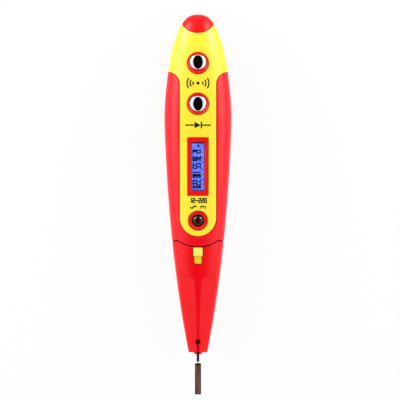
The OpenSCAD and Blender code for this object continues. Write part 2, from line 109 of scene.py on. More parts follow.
SEAM = 0.05  # from the parting plane to the edge of a shell
LIP_FROM, LIP_TO, LIP_DEPTH = -0.6, 0.37, 0.16

# mesh fineness: step along outlines, grid over faces, room between edge rows and grid
STEP = 0.28
GRID = 0.55
RING_CLEAR = 0.3
MIRROR = np.array([-1, 1])


def columns(*parts):
    return np.stack(parts, -1)


def unit(rows):
    """The rows at length one."""
    return rows / np.maximum(np.linalg.norm(rows, axis=1), 1e-9)[:, None]


# ---- the pen's surface
def half_at(d):
    """Half of the pen's width at a distance d from the tail apex."""
    d = np.asarray(d, float)
    t = np.clip(d / TAIL_L, 0, 1)
    tail = BODY_HALF * (1 - (1 - t) ** TAIL_CURVE) ** (1 / TAIL_BLUNT)
    s = np.clip((d - TAIL_L) / (NOSE_END - TAIL_L), 0, 1.2)
    taper = BODY_HALF - (BODY_HALF - NOSE_END_HALF) * (0.5 * s ** 1.2 + 0.5 * s ** 2.6)
    return np.where(d < TAIL_L, tail, taper)


def tail_d(half):
    """Distance from the tail apex at which the tail has a half width."""
    return TAIL_L * (1 - (1 - (half / BODY_HALF) ** TAIL_BLUNT) ** (1 / TAIL_CURVE))


def crest_at(d):
    return half_at(d) * FLATNESS


def face_tilt(d):
    """Lean of the face at d, in radians, above zero towards the tail."""
    return math.atan(float(crest_at(d + 1) - crest_at(d - 1)) / 2)


ARC_ANGLES = np.linspace(-math.pi, math.pi, 2881)
ARC_SPEED = np.hypot(np.cos(ARC_ANGLES), FLATNESS * np.sin(ARC_ANGLES))
ARC_LENGTHS = np.concatenate([[0], np.cumsum((ARC_SPEED[1:] + ARC_SPEED[:-1]) / 2 * np.diff(ARC_ANGLES))])
ARC_LENGTHS -= ARC_LENGTHS[len(ARC_LENGTHS) // 2]


def unroll(angle, d):
    """Domain point of an angle round the oval, 0 at its front, and a distance d."""
    return columns(half_at(d) * np.interp(angle, ARC_ANGLES, ARC_LENGTHS), np.asarray(d, float))


def unroll_plan(points):
    """Domain points of (x, d) places seen from the front or from the back."""
    points = np.asarray(points, float)
    share = np.clip(points[:, 0] / half_at(points[:, 1]), -1, 1)
    return unroll(np.arcsin(share), points[:, 1])


def oval_point(uv):
    half = half_at(uv[:, 1])
    angle = np.interp(uv[:, 0] / np.maximum(half, 1e-6), ARC_LENGTHS, ARC_ANGLES)
    return columns(half * np.sin(angle), -uv[:, 1], half * FLATNESS * np.cos(angle))


def soft_above(value, floor, blend):
    """value, kept above a floor with a rounded bend."""
    return floor + np.logaddexp(0, (value - floor) / blend) * blend


def back_point(uv):
    """The rear housing: the oval from behind, cut flat."""
    p = oval_point(uv)
    p[:, 2] = soft_above(-p[:, 2], -BACK_DEPTH, 0.1)
    return p


def smooth_step(value, low, high):
    t = np.clip((value - low) / (high - low), 0, 1)
    return t * t * (3 - 2 * t)


def nose_point(uv):
    """The nose: the oval with two long facets under a curved lip."""
    p = oval_point(uv)
    d = uv[:, 1]
    start = FACET_DEPTH * float(half_at(FACET_AT))
    depth = start + (FACET_DEPTH * NOSE_END_HALF - start) * (d - FACET_AT) / (NOSE_END - FACET_AT)
    below_lip = smooth_step(np.hypot(p[:, 0], d - FACET_AT + FACET_ARC_R) - FACET_ARC_R, -0.12, 0.22)
    below_lip *= smooth_step(d, FACET_AT - 3.4, FACET_AT - 3.0) * (p[:, 2] > 0)
    for side in (-1, 1):
        lean = np.array([side * math.sin(FACET_LEAN), 0, math.cos(FACET_LEAN)])
        p = p - (soft_above(p @ lean - depth, 0, FACET_BEND) * below_lip)[:, None] * lean
    return p


def front_height(x, d):
    half = half_at(d)
    return half * FLATNESS * np.sqrt(1 - np.clip(x / half, -0.999, 0.999) ** 2)


def front_face(lift=0.0):
    """Maps plan places (x, d) to the front of the oval, raised by lift."""
    def point(uv):
        return columns(uv[:, 0], -uv[:, 1], front_height(uv[:, 0], uv[:, 1]) + lift)
    return point


# ---- outlines
def oval(angle, half_w, half_h):
    return columns(half_w * np.cos(angle), half_h * np.sin(angle))


def arc(centre, radius, start, end, step=STEP):
    """Points (x, d) on an arc, with angles in degrees and 90 towards the nose."""
    n = max(3, int(abs(math.radians(end - start)) * radius / step) + 1)
    return oval(np.radians(np.linspace(start, end, n)), radius, radius) + centre


def densify(points, step=STEP, closed=True):
    """The polyline with its long segments divided."""
    points = [np.asarray(p, float) for p in points]
    out = []
    for a, b in zip(points, points[1:] + points[:1] * closed):
        length = np.linalg.norm(b - a)
        if length < 1e-6:
            continue
        n = max(1, int(round(length / step)))
        out += [a + (b - a) * i / n for i in range(n)]
    if not closed:
        out.append(points[-1])
    return np.array(out)


def rounded(corners, radii, pieces=0):
    """A closed polygon with its corners rounded, by one radius or by a list of them."""
    out = []
    n = len(corners)
    corners = np.asarray(corners, float)
    for i, r in enumerate(np.broadcast_to(radii, n).tolist()):
        before, here, after = corners[i - 1], corners[i], corners[(i + 1) % n]
        if r <= 0:
            out.append(here)
            continue
        u = (before - here) / np.linalg.norm(before - here)
        v = (after - here) / np.linalg.norm(after - here)
        spread = math.acos(max(-1.0, min(1.0, float(u @ v))))
        reach = r / math.tan(spread / 2)
        middle = here + (u + v) / np.linalg.norm(u + v) * r / math.sin(spread / 2)
        a = here + u * reach - middle
        b = here + v * reach - middle
        a0 = math.atan2(a[1], a[0])
        turn = (math.atan2(b[1], b[0]) - a0 + math.pi) % (2 * math.pi) - math.pi
        k = pieces or max(3, int(abs(turn) * r / STEP) + 1)
        for j in range(k + 1):
            angle = a0 + turn * j / k
            out.append(middle + r * np.array([math.cos(angle), math.sin(angle)]))
    return np.array(out)


def box_outline(half_w, d0, d1, radius, pieces=0):
    return rounded([(-half_w, d0), (half_w, d0), (half_w, d1), (-half_w, d1)], radius, pieces=pieces)


def box_loop(half_w, d0, d1, radius, step=STEP):
    return densify(box_outline(half_w, d0, d1, radius), step)


def display_box(half, radius):
    """An upright box round the display's middle, of a half width and a half length."""
    return box_outline(half[0], DISPLAY_AT - half[1], DISPLAY_AT + half[1], radius)


def disc_outline(d, radius, squeeze=1.0):
    return arc((0, 0), radius, 0, 360)[:-1] * [1, squeeze] + [0, d]


def round_angles(steps):
    return np.arange(steps) * 2 * math.pi / steps


def dome_profile(radius, rise, top, edge, count):
    """Profile of a round dome that peaks at top, from a short way inside its radius to the axis."""
    ball = (radius ** 2 + rise ** 2) / (2 * rise)
    return [(r, top - ball + math.sqrt(ball ** 2 - r ** 2)) for r in np.linspace(radius - edge, 0, count)]


# ---- meshes as arrays
def inside(points, loops):
    """Which points lie inside the loops, by the even-odd rule."""
    result = np.zeros(len(points), bool)
    for loop in loops:
        a, b = loop, np.roll(loop, -1, axis=0)
        for i in range(0, len(points), 1500):
            x, y = points[i:i + 1500, 0:1], points[i:i + 1500, 1:2]
            crosses = (a[:, 1] > y) != (b[:, 1] > y)
            rise = np.where(b[:, 1] == a[:, 1], 1e-12, b[:, 1] - a[:, 1])
            left = x < (b[:, 0] - a[:, 0]) * (y - a[:, 1]) / rise + a[:, 0]
            result[i:i + 1500] ^= (np.sum(crosses & left, axis=1) % 2).astype(bool)
    return result


def nearest(points, a, b):
    """Distance from each point to the segments a-b, and the nearest place on them."""
    distance = np.empty(len(points))
    place = np.empty((len(points), 2))
    ab = b - a
    length2 = np.maximum((ab ** 2).sum(1), 1e-12)
    for i in range(0, len(points), 1500):
        p = points[i:i + 1500, None, :]
        t = np.clip(((p - a) * ab).sum(2) / length2, 0, 1)
        foot = a + t[:, :, None] * ab
        gap = np.linalg.norm(p - foot, axis=2)
        k = gap.argmin(1)
        rows = np.arange(len(k))
        distance[i:i + 1500] = gap[rows, k]
        place[i:i + 1500] = foot[rows, k]
    return distance, place


def edges_outward(a, b, loops):
    """Unit normals of the segments a-b, away from the region inside the loops."""
    step = b - a
    normal = unit(columns(-step[:, 1], step[:, 0]))
    normal[inside((a + b) / 2 + normal * 0.01, loops)] *= -1
    return normal


def sheet(point, loops, wall, fillet, grid=GRID, welds=None, extra=None):
    """A closed shell over the region between the loops, with rolled edges.

    point maps domain places to the outer surface. wall is the depth to the inner one and fillet the radius of the
    edges, each a number or a function of the place. welds flags the segments of the first loop that meet each other
    round the back. extra is a run of places that get vertices, as along a lip.
    """
    border = np.concatenate(loops)
    counts = [len(loop) for loop in loops]
    nexts = np.concatenate([np.roll(np.arange(n), -1) + sum(counts[:i]) for i, n in enumerate(counts)])
    weld = np.zeros(len(border), bool)
    if welds is not None:
        weld[:len(welds)] = welds
    seg_a, seg_b = border[~weld], border[nexts[~weld]]

    widest = float(np.max(fillet(border))) if callable(fillet) else fillet
    clear = widest + RING_CLEAR
    offsets = [widest * (1 - math.cos(math.radians(a))) for a in (22, 45, 66)] + [widest, clear]
    edge_out = edges_outward(border, border[nexts], loops)
    rows = []
    for e in offsets:
        row = (seg_a + seg_b) / 2 - edge_out[~weld] * e
        rows.append(row[(nearest(row, seg_a, seg_b)[0] > e * 0.97) & inside(row, loops)])
    low, high = border.min(0), border.max(0)
    across = np.arange(low[0] - grid, high[0] + grid, grid)
    along = np.arange(low[1], high[1], grid * 0.866)
    field = np.array([(x + (grid / 2 if j % 2 else 0), y) for j, y in enumerate(along) for x in across])
    field = field[inside(field, loops)]
    if extra is not None:
        field = field[nearest(field, extra[:-1], extra[1:])[0] > grid * 0.5]
        rows.append(extra[inside(extra, loops)])
    field = field[nearest(field, seg_a, seg_b)[0] > clear + grid * 0.45]
    if weld.any():
        seam = border[weld], border[nexts[weld]]
        field = field[nearest(field, *seam)[0] > grid * 0.45]
        rows = [row[nearest(row, *seam)[0] > STEP * 0.4] for row in rows]
    loose = np.concatenate(rows + [field])
    _, first = np.unique(np.round(loose, 4), axis=0, return_index=True)
    loose = loose[np.sort(first)]
    uv = np.concatenate([border, loose])

    edges = list(enumerate(nexts.tolist()))
    found, _, faces, sources, _, _ = delaunay_2d_cdt([Vector(p) for p in uv], edges, [], 0, 1e-7)
    found = np.array([tuple(p) for p in found])
    index = np.array([s[0] if s else -1 for s in sources])
    tris = np.array([f for f in faces if len(f) == 3])
    tris = index[tris[inside(found[tris].mean(1), loops)]]
    if (tris < 0).any():
        raise ValueError("the borders of a sheet cross each other")

    surface, across, along, outward = tangents(point, uv)
    gap, foot = nearest(uv, seg_a, seg_b)
    touching = np.zeros(len(uv), bool)
    touching[:len(border)] = ~(weld & np.roll(weld, 1))
    gap[touching] = 0
    roll = fillet(uv) if callable(fillet) else fillet
    lean = np.clip(1 - gap / roll, 0, 1)
    drop = roll * (1 - np.sqrt(1 - lean ** 2))
    edge_out[weld] = 0
    corner_out = edge_out.copy()
    np.add.at(corner_out, nexts, edge_out)
    towards = foot - uv
    towards[touching] = corner_out[touching[:len(border)]]
    towards = unit(towards)
    sideways = unit(across * towards[:, 0:1] + along * towards[:, 1:2])
    top = surface - outward * drop[:, None]
    top_normal = outward * np.sqrt(1 - lean ** 2)[:, None] + sideways * lean[:, None]
    bottom = surface - outward * (wall(uv)[:, None] if callable(wall) else wall)

    corner = top[tris]
    facing = np.cross(corner[:, 1] - corner[:, 0], corner[:, 2] - corner[:, 0])
    wrong = (facing * outward[tris[:, 0]]).sum(1) < 0
    tris[wrong] = tris[wrong][:, ::-1]
    n = len(uv)
    verts = np.concatenate([top, bottom])
    used_edges = {(int(t[i]), int(t[(i + 1) % 3])) for t in tris for i in range(3)}
    polys = [tuple(int(v) for v in t) for t in tris] + [tuple(int(v) + n for v in t[::-1]) for t in tris]
    normals = [top_normal[v] for t in tris for v in t] + [-outward[v] for t in tris for v in t[::-1]]
    for i in np.flatnonzero(~weld):
        a, b = int(i), int(nexts[i])
        if (a, b) not in used_edges:
            a, b = b, a
        polys.append((b, a, a + n, b + n))
        normals += [sideways[b], sideways[a], sideways[a], sideways[b]]
    if weld.any():
        verts, polys = weld_seam(verts, polys, uv, weld, nexts)
    return verts, polys, np.array(normals)


def tangents(point, uv):
    """Surface places, their two tangents and the outward normal."""
    h = 0.02
    p = point(uv)
    across = point(uv + [h, 0]) - point(uv - [h, 0])
    along = point(uv + [0, h]) - point(uv - [0, h])
    outward = np.cross(along, across)
    outward[(outward * p * [1, 0, 1]).sum(1) < 0] *= -1
    return p, unit(across), unit(along), unit(outward)


def weld_seam(verts, polys, uv, weld, nexts):
    """Joins the two sides of a sheet that goes all the way round."""
    n = len(uv)
    seam = sorted(set(np.flatnonzero(weld)) | set(nexts[weld]))
    left = {round(float(uv[i, 1]), 4): i for i in seam if uv[i, 0] < 0}
    to = np.arange(len(verts))
    for i in seam:
        if uv[i, 0] > 0:
            to[i] = left[round(float(uv[i, 1]), 4)]
            to[i + n] = to[i] + n
    used, fresh = np.unique(to, return_inverse=True)
    return verts[used], [tuple(int(fresh[v]) for v in p) for p in polys]


def face_vectors(verts, polys):
    """Each face's normal, as long as twice its area."""
    corners = (verts[list(p)] for p in polys)
    return np.array([np.cross(q, np.roll(q, -1, axis=0)).sum(0) for q in corners])


def corner_normals(verts, polys, limit):
    """Normals at the faces' corners, smooth over edges with an angle, in degrees, below the limit."""
    face = face_vectors(verts, polys)
    area = np.maximum(np.linalg.norm(face, axis=1), 1e-12)
    facing = face / area[:, None]
    around = {}
    for i, p in enumerate(polys):
        for v in p:
            around.setdefault(v, []).append(i)
    keep = math.cos(math.radians(limit))
    out = []
    for i, p in enumerate(polys):
        for v in p:
            near = np.array(around[v])
            near = near[facing[near] @ facing[i] > keep]
            total = (facing[near] * np.sqrt(area[near])[:, None]).sum(0)
            out.append(total / np.linalg.norm(total))
    return np.array(out)


def rings_mesh(rings, caps=True, joined=False):
    """A skin over rings of points. joined closes the last ring to the first, as in a torus."""
    sizes = [len(r) for r in rings]
    starts = np.concatenate([[0], np.cumsum(sizes)]).tolist()
    polys = []
    count = len(rings)
    for k in range(count if joined else count - 1):
        after = (k + 1) % count
        a, b, m, n = starts[k], starts[after], sizes[k], sizes[after]
        for i in range(max(m, n)):
            j = (i + 1) % max(m, n)
            polys.append(tuple(dict.fromkeys((a + i % m, a + j % m, b + j % n, b + i % n))))
    if caps and not joined:
        if sizes[0] > 1:
            polys.append(tuple(range(sizes[0]))[::-1])
        if sizes[-1] > 1:
            polys.append(tuple(range(starts[-2], starts[-1])))
    return np.concatenate(rings).astype(float), polys


def finished(verts, polys, limit=40):
    """The mesh with its faces turned outwards and its corner normals."""
    volume = (verts[[p[0] for p in polys]] * face_vectors(verts, polys)).sum()
    if volume < 0:
        polys = [p[::-1] for p in polys]
    return verts, polys, corner_normals(verts, polys, limit)


def lathe(profile, place, steps=72, joined=False, limit=40):
    """A turned shape: profile is (radius, height) pairs and place maps its points to the pen."""
    a = round_angles(steps)
    rings = [columns(r * np.cos(a), r * np.sin(a), np.full(steps, h)) if r > 0 else [[0, 0, h]] for r, h in profile]
    verts, polys = rings_mesh(rings, joined=joined)
    return finished(place(verts), polys, limit)


def prism(outline, low, high, edge, place, pieces=3):
    """A plate of an outline from low to high, with rounded edges."""
    outline = np.asarray(outline, float)
    step = np.roll(outline, -1, axis=0) - outline
    normal = unit(columns(step[:, 1], -step[:, 0]))
    if (outline[:, 0] * np.roll(outline[:, 1], -1) - np.roll(outline[:, 0], -1) * outline[:, 1]).sum() < 0:
        normal = -normal
    normal = unit(normal + np.roll(normal, 1, axis=0))
    angles = np.radians(np.linspace(0, 90, pieces + 1))
    rings = []
    for a, level, up in [(a, low, 1) for a in angles] + [(a, high, -1) for a in angles[::-1]]:
        inset = edge * (1 - math.sin(a))
        height = np.full(len(outline), level + up * edge * (1 - math.cos(a)))
        rings.append(np.column_stack([outline - normal * inset, height]))
    verts, polys = rings_mesh(rings)
    return finished(place(verts), polys)


def face_place(d):
    """Maps points over the face at d: z along its normal, y towards the tail."""
    lean = face_tilt(d)
    c, s = math.cos(lean), math.sin(lean)
    crest = float(crest_at(d))
    def place(p):
        return columns(p[:, 0], -d + p[:, 1] * c + p[:, 2] * -s, crest + p[:, 1] * s + p[:, 2] * c)
    return place


def axis_place(d):
    """Maps points to the pen's axis: z from d towards the nose."""
    def place(p):
        return columns(p[:, 0], -d - p[:, 2], p[:, 1])
    return place


def plan_place(d=0.0):
    """Maps (x, d, z) points to the pen, moved by a distance d."""
    def place(p):
        return columns(p[:, 0], -p[:, 1] - d, p[:, 2])
    return place


# ---- objects
def linked(name, data):
    obj = bpy.data.objects.new(name, data)
    studio.collection.objects.link(obj)
    return obj


def new_object(name, verts, polys, material):
    mesh = bpy.data.meshes.new(name)
    mesh.from_pydata(verts, [], polys)
    mesh.materials.append(material)
    return linked(name, mesh)


def add_object(name, parts, material, body, slot, *replaced):
    """One object of several array meshes, riding on a body, standing for CAD nodes. slot is not used."""
    verts, polys, normals = [], [], []
    count = 0
    for v, p, n in parts:
        verts.append(v)
        polys += [tuple(i + count for i in q) for q in p]
        normals.append(n)
        count += len(v)
    verts = (np.concatenate(verts) + [0, OVERALL / 2, BACK_DEPTH]) / 1000
    obj = new_object(name, verts.tolist(), polys, material)
    obj.data.polygons.foreach_set("use_smooth", [True] * len(polys))
    obj.data.normals_split_custom_set(np.concatenate(normals).tolist())
    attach(obj, body)
    if replaced:
        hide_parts(*replaced)
    return obj


# ---- materials
class Nodes:
    """A material's node tree. Inputs of its nodes are given as values or as the outputs that feed them."""
    def __init__(self, name):
        self.material = bpy.data.materials.new(name)
        self.material.use_nodes = True
        self.tree = self.material.node_tree
        self.tree.nodes.clear()
        self.shader = self.add("BsdfPrincipled")
        self.out = self.add("OutputMaterial", {"Surface": self.shader.outputs["BSDF"]})
        self.place = self.add("TexCoord").outputs["Object"]

    def add(self, kind, inputs=None):
        node = self.tree.nodes.new("ShaderNode" + kind)
        self.fill(node, inputs or {})
        return node

    def fill(self, node, inputs):
        for name, value in inputs.items():
            if isinstance(value, bpy.types.NodeSocket):
                self.tree.links.new(value, node.inputs[name])
            else:
                node.inputs[name].default_value = value

    def set(self, **inputs):
        """Inputs of the shader."""
        self.fill(self.shader, {name.replace("_", " "): value for name, value in inputs.items()})

    def noise(self, scale, detail=3.0, rough=0.5, stretch=None):
        place = self.add("Mapping", {"Scale": stretch, "Vector": self.place}).outputs[0] if stretch else self.place
        inputs = {"Scale": scale, "Detail": detail, "Roughness": rough, "Vector": place}
        return self.add("TexNoise", inputs).outputs["Fac"]

    def ramp(self, value, low, high, edge=0.3):
        """A blend from one colour to another, over the middle of the value's range."""
        node = self.add("ValToRGB", {"Fac": value})
        for element, at, colour in zip(node.color_ramp.elements, (edge, 1 - edge), (low, high)):
            element.position = at
            element.color = (*colour, 1)
        return node.outputs["Color"]

    def span(self, value, low, high):
        return self.add("MapRange", {"To Min": low, "To Max": high, "Value": value}).outputs["Result"]

    def bump(self, value, distance, strength):
        node = self.add("Bump", {"Distance": distance, "Strength": strength, "Height": value})
        self.set(Normal=node.outputs["Normal"])

    def math(self, operation, a, b):
        node = self.add("Math", {0: a, 1: b})
        node.operation = operation
        return node.outputs[0]


def moulded(name, low, high, rough, spec=0.3, grain=0.0):
    """Moulded plastic: slight flow marks in the colour, fine gloss changes and a faint orange peel."""
    m = Nodes(name)
    flow = m.noise(60, 2.0, stretch=(1.0, 0.25, 1.0))
    m.set(Base_Color=m.ramp(flow, low, high), Roughness=m.span(m.noise(900), *rough))
    m.set(IOR=1.5, Specular_IOR_Level=spec)
    m.bump(m.noise(2600 if grain else 420, 2.0), grain or 0.000004, 0.5)
    return m.material


yellow = moulded("yellow_plastic", (0.93, 0.755, 0.035), (0.96, 0.8, 0.045), (0.28, 0.36))
# lit and shaded copies of the yellow: the latch's block is paler as painted light, its lower step deeper as painted
# shade
yellow_painted_light = moulded("yellow_latch_painted_light", (0.88, 0.84, 0.12), (0.92, 0.88, 0.15), (0.3, 0.38))
yellow_painted_shade = moulded("yellow_step_painted_shade", (0.9, 0.64, 0.03), (0.93, 0.7, 0.04), (0.3, 0.4))
yellow_inner = moulded("yellow_tray_plastic", (0.85, 0.63, 0.012), (0.9, 0.7, 0.02), (0.35, 0.45))
red = moulded("red_plastic", (0.86, 0.002, 0.006), (0.91, 0.003, 0.01), (0.28, 0.36), 0.25)
red_cap = moulded("red_cap_plastic", (0.8, 0.002, 0.004), (0.86, 0.003, 0.007), (0.3, 0.38), 0.15)
# dark red painted shade, for the joint line's gap and the inside of the nose's keyhole
red_painted_shade = moulded("dark_red_painted_shade", (0.19, 0.002, 0.004), (0.24, 0.003, 0.006), (0.5, 0.6), 0.1)
red_ring = moulded("red_ring_plastic", (0.74, 0.006, 0.002), (0.8, 0.009, 0.003), (0.28, 0.36), 0.2)
red_soft = moulded("red_soft_skin", (0.82, 0.003, 0.012), (0.88, 0.005, 0.018), (0.3, 0.38), 0.25, grain=0.000006)
lamp = moulded("lamp_red", (0.016, 0.001, 0.001), (0.035, 0.001, 0.001), (0.02, 0.04))
black = moulded("black_sleeve", (0.008, 0.008, 0.008), (0.016, 0.016, 0.016), (0.35, 0.5))
ink = moulded("printed_black", (0.004, 0.004, 0.004), (0.01, 0.01, 0.01), (0.5, 0.6), 0.1)
# printed signs on the display, and painted shade along the window's edges
lcd_ink_and_shade = moulded("display_ink_and_painted_shade", (0.002, 0.002, 0.06), (0.004, 0.004, 0.09), (0.5, 0.6), 0.05)
rubber = moulded("black_rubber", (0.02, 0.02, 0.02), (0.04, 0.04, 0.04), (0.6, 0.75))
resin = moulded("black_resin", (0.015, 0.015, 0.016), (0.03, 0.03, 0.032), (0.5, 0.65))
milky = moulded("white_guide", (0.8, 0.8, 0.78), (0.86, 0.86, 0.84), (0.4, 0.5))


def metal(name, low, high, rough, stretch=(1.0, 1.0, 1.0), scale=800, depth=0.000004, metallic=1.0, dark_from=None):
    """Metal with a fine grain. dark_from is the height in y, in metres, above which its colour turns dark."""
    m = Nodes(name)
    grain = m.noise(scale, 4.0, 0.6, stretch)
    shade = m.ramp(grain, low, high)
    if dark_from is not None:
        height = m.add("SeparateXYZ", {"Vector": m.place}).outputs["Y"]
        dark_band = m.add("MapRange", {"From Min": dark_from, "From Max": dark_from + 0.0004, "Value": height})
        shade = m.add("MixRGB", {"Fac": dark_band.outputs["Result"], "Color1": shade,
                                 "Color2": (0.025, 0.01, 0.007, 1)}).outputs["Color"]
    m.set(Base_Color=shade, Roughness=m.span(grain, *rough), Metallic=metallic)
    m.bump(grain, depth, 0.6)
    return m.material


chrome = metal("chrome_pad", (0.86, 0.87, 0.88), (0.92, 0.93, 0.94), (0.02, 0.05), scale=300, depth=0.0000005)
bright_steel = metal("bright_steel", (0.62, 0.62, 0.63), (0.8, 0.8, 0.8), (0.2, 0.35))
brass = metal("brass_strip", (0.62, 0.42, 0.14), (0.78, 0.56, 0.22), (0.22, 0.38))
blade_steel = metal("blade_steel", (0.045, 0.018, 0.011), (0.25, 0.13, 0.105), (0.4, 0.6), (2.2, 0.12, 2.2), 900,
                    0.00003, metallic=0.45, dark_from=-0.0594)


def clear_window():
    m = Nodes("clear_window")
    m.set(Base_Color=(0.97, 0.98, 1, 1), Roughness=m.span(m.noise(500), 0.02, 0.05))
    m.set(IOR=1.12, Transmission_Weight=1.0)
    return m.material


def display_blue(colour=(0.035, 0.1, 0.72)):
    """The lit display layer, with a slightly uneven back light."""
    m = Nodes("display_blue")
    shade = m.ramp(m.noise(220, 2.0), [c * 0.85 for c in colour], colour)
    m.set(Base_Color=shade, Emission_Color=shade, Emission_Strength=0.7, Roughness=m.span(m.noise(900), 0.3, 0.4))
    return m.material


def board_green():
    m = Nodes("board_green")
    grain = m.noise(1500)
    shade = m.ramp(m.noise(500), (0.01, 0.12, 0.04), (0.02, 0.2, 0.07), 0.35)
    m.set(Base_Color=shade, Roughness=m.span(grain, 0.3, 0.45))
    m.bump(grain, 0.00001, 0.5)
    return m.material


# ---- housing
def plan_run(points):
    """Domain points of an open run of plan places."""
    return unroll_plan(densify(points, closed=False))


def plan_loop(points):
    """Domain points of a closed loop of plan places."""
    return densify(unroll_plan(points))


def side_run(d_from, d_to):
    """Domain points down the right side of the pen, just above the parting plane."""
    d = np.linspace(d_from, d_to, max(2, int(abs(d_to - d_from) / STEP) + 1))
    return unroll(np.full(len(d), math.pi / 2), d) - [SEAM, 0]


def cap_edge():
    """Domain points of the shells' edge round the cap, from the left side to the right."""
    points = arc((0, 0), CAP_R + EDGE_GAP, 0, 180, 0.2)
    half = half_at(np.maximum(points[:, 1], 0.01))
    return unroll_plan(points[np.abs(points[:, 0]) < half - 0.02])[::-1]


def strip_side(inset):
    """Plan points of the yellow strip's right edge, from the wing's top at the side to the round end."""
    top = WING_TOP - inset
    x = STRIP_HALF - inset
    corner = arc((x + WING_CORNER, top + WING_CORNER), WING_CORNER, 270, 180)
    corner = corner[corner[:, 0] < half_at(corner[:, 1]) - 0.15]
    start = np.array([[float(half_at(top)) - 0.03, top]])
    end = arc((0, STRIP_END - STRIP_HALF), x, 0, 90)
    return np.concatenate([start, corner, end])


def joint_edge(gap):
    """Plan points of the joint line from the right to the left, moved towards the nose by a gap."""
    reach = float(half_at(JOINT_AT)) - EDGE_GAP
    r = BULGE_R + gap
    flat = JOINT_AT + gap
    corner = math.degrees(math.asin((flat - BULGE_CENTRE) / r))
    bulge = arc((0, BULGE_CENTRE), r, corner, 180 - corner)
    return np.concatenate([[[reach, flat]], bulge, [[-reach, flat]]])


def edge_roll(radius, at_joint=0.14):
    """The radius of a rolled edge, small along the joint line."""
    def roll(uv):
        return radius + (at_joint - radius) * smooth_step(uv[:, 1], STRIP_END + 0.5, JOINT_AT - 0.5)
    return roll


def joint_shade_lip(point):
    """A lip in the joint line, just under the surface, in dark red: painted shade standing for the shadow in the
    joint gap.
    """
    low, high = plan_run(joint_edge(LIP_TO)), plan_run(joint_edge(LIP_FROM))
    def inset(uv):
        p, _, _, outward = tangents(point, uv)
        return p - outward * LIP_DEPTH
    return sheet(inset, [densify(np.concatenate([low, high[::-1]]))], 0.5, 0.04)


def housing_end():
    """Domain points of the housing's edge along the joint line, without its ends."""
    return plan_run(joint_edge(-EDGE_GAP))[1:-1]


# where the shells' sides start, just past the cap
near_cap = np.linspace(0.5, CAP_R, 4000)
side_from = float(near_cap[np.argmin(np.abs(np.hypot(half_at(near_cap), near_cap) - CAP_R))]) + 0.15


def front_shell():
    right = np.concatenate([side_run(side_from, WING_TOP - 0.1), plan_run(strip_side(EDGE_GAP))[1:]])
    outer = densify(np.concatenate([right, right[::-1][1:] * MIRROR, cap_edge()]))
    holes = [plan_loop(disc_outline(d, RING_R + 0.02, math.cos(face_tilt(d)))) for d in PAD_PLACES]
    holes.append(plan_loop(disc_outline(LED_AT, LED_RING_R + 0.02)))
    holes.append(plan_loop(densify(display_box(BEZEL_HALF, 0.35))))
    return sheet(oval_point, [outer] + holes, WALL, 0.28)


def front_grip():
    edge = plan_run(strip_side(-EDGE_GAP))[::-1]
    right = side_run(WING_TOP + 0.1, JOINT_AT)
    outer = np.concatenate([edge, right, housing_end(), right[::-1] * MIRROR, edge[::-1][:-1] * MIRROR])
    return sheet(oval_point, [densify(outer)], GRIP_T, edge_roll(0.4))


def rear_shell():
    right = side_run(side_from, JOINT_AT)
    outer = np.concatenate([right, housing_end(), right[::-1] * MIRROR, cap_edge()])
    holes = [plan_loop(disc_outline(d, SCREW_HOLE_R)) for d in SCREW_PLACES]
    return sheet(back_point, [densify(outer)] + holes, WALL, edge_roll(0.2))


def screw_cup(d):
    """The recess for a screw's head, with its bore."""
    profile = [(SCREW_HOLE_R, 0.1), (SCREW_HOLE_R, 1.5), (1.1, 1.5), (1.1, 4.5), (2.6, 4.5), (2.6, 1.0), (2.3, 0.4)]
    verts, polys, normals = lathe(profile, plan_place(d), 48, joined=True)
    return verts - [0, 0, BACK_DEPTH], polys, normals


def tail_cap():
    """The cap, as rings round the tail apex."""
    angles = round_angles(144)
    h = np.linspace(0.2, 8, 4000)
    reach = np.hypot(h * np.sin(angles)[:, None], tail_d(h))
    edge_half = h[np.abs(reach - (CAP_R - EDGE_GAP)).argmin(1)]
    def ring(share, depth):
        h = np.maximum(edge_half * share, 1e-4)
        d = tail_d(h)
        x, z = h * np.sin(angles), h * FLATNESS * np.cos(angles)
        slope = (half_at(d + 0.01) - half_at(np.maximum(d - 0.01, 0))) / 0.02
        normal = unit(columns(x / h, slope, z / FLATNESS ** 2 / h))
        return columns(x, -d, z) - normal * depth
    fillet = 0.16
    spans = [(s, 0.0) for s in np.linspace(0.04, 0.955, 26)]
    for a in (70, 48, 24, 0):
        c, s = math.cos(math.radians(a)), math.sin(math.radians(a))
        spans.append((1 - fillet * (1 - c) / 6.5, fillet * (1 - s)))
    spans += [(1, 0.5), (1, WALL)] + [(s, WALL) for s in np.linspace(0.96, 0.04, 14)]
    rings = [[[0, 0, 0]]] + [ring(*s) for s in spans] + [[[0, -WALL, 0]]]
    return finished(*rings_mesh(rings, caps=False))


def dished_ring(d, outer_r, hole_r):
    """A red ring that follows the face, with a hollow towards its hole."""
    o, h = outer_r - EDGE_GAP, hole_r
    profile = [(o, -1.6), (o, -0.16), (o - 0.03, -0.06), (o - 0.1, 0.0), (o - 0.2, 0.02), (o - 0.3, -0.01)]
    for t in np.linspace(0.1, 1, 8):
        profile.append((o - 0.3 - (o - h - 0.38) * t, -0.01 - 0.48 * t ** 1.3))
    profile += [(h + 0.03, -0.55), (h, -0.65), (h, -1.6)]
    angles = round_angles(96)
    lean = face_tilt(d)
    normal = np.array([0, -math.sin(lean), math.cos(lean)])
    rings = []
    for r, height in profile:
        x, t = r * np.cos(angles), r * np.sin(angles)
        dd = d - t * math.cos(lean)
        rings.append(columns(x, -dd, front_height(x, dd)) + normal * height)
    return finished(*rings_mesh(rings, joined=True), 50)


def touch_pad(d):
    """A chrome pad: a low dome over a rounded edge, with its foot in the housing."""
    foot = [(0, -2.2), (3.5, -2.2), (3.5, -1.7), (PAD_R, -1.7), (PAD_R, -0.82), (PAD_R - 0.03, -0.74)]
    return lathe(foot + dome_profile(PAD_R, 0.84, 0.15, 0.08, 24), face_place(d), 96, limit=50)


